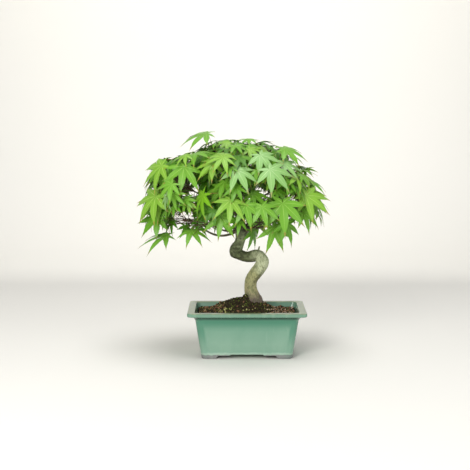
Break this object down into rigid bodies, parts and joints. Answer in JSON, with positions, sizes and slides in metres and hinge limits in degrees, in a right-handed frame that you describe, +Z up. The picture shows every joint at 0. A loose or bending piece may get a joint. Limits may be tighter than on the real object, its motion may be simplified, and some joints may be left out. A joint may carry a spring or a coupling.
{
  "type": "potted maple bonsai",
  "caption": "Bonsai maple with a winding trunk, thin boughs and a domed crown of seven-lobed leaves, rooted in the soil of a glazed rectangular pot with a flat rim and low feet.",
  "frame": {"origin": "on the ground, under the middle of the whole object's bounding box", "axes": "+Z up, -Y towards the front of the tree, +X to the right seen from the front"},
  "size_m": [0.3004, 0.2642, 0.3493],
  "materials": {
    "glaze": "glossy celadon glaze",
    "soil": "matt, coarse grains and moss",
    "bark": "matt, greyish olive bark",
    "foliage": "satin fresh green"
  },
  "bodies": {
    "root": {"pot": "glaze", "soil": "soil", "trunk": "bark", "bough_low_left": "bark", "bough_low_front_left": "bark", "bough_low_front_right": "bark", "bough_low_right": "bark", "bough_low_back_right": "bark", "bough_low_back_left": "bark", "bough_high_left": "bark", "bough_high_front": "bark", "bough_high_right": "bark", "bough_high_back": "bark", "bough_top_left": "bark", "foliage_low_left": "foliage", "foliage_low_front_left": "foliage", "foliage_low_front_right": "foliage", "foliage_low_right": "foliage", "foliage_low_back_right": "foliage", "foliage_low_back_left": "foliage", "foliage_high_left": "foliage", "foliage_high_front": "foliage", "foliage_high_right": "foliage", "foliage_high_back": "foliage", "foliage_top_left": "foliage", "foliage_top_right": "foliage"}
  },
  "joints": []
}
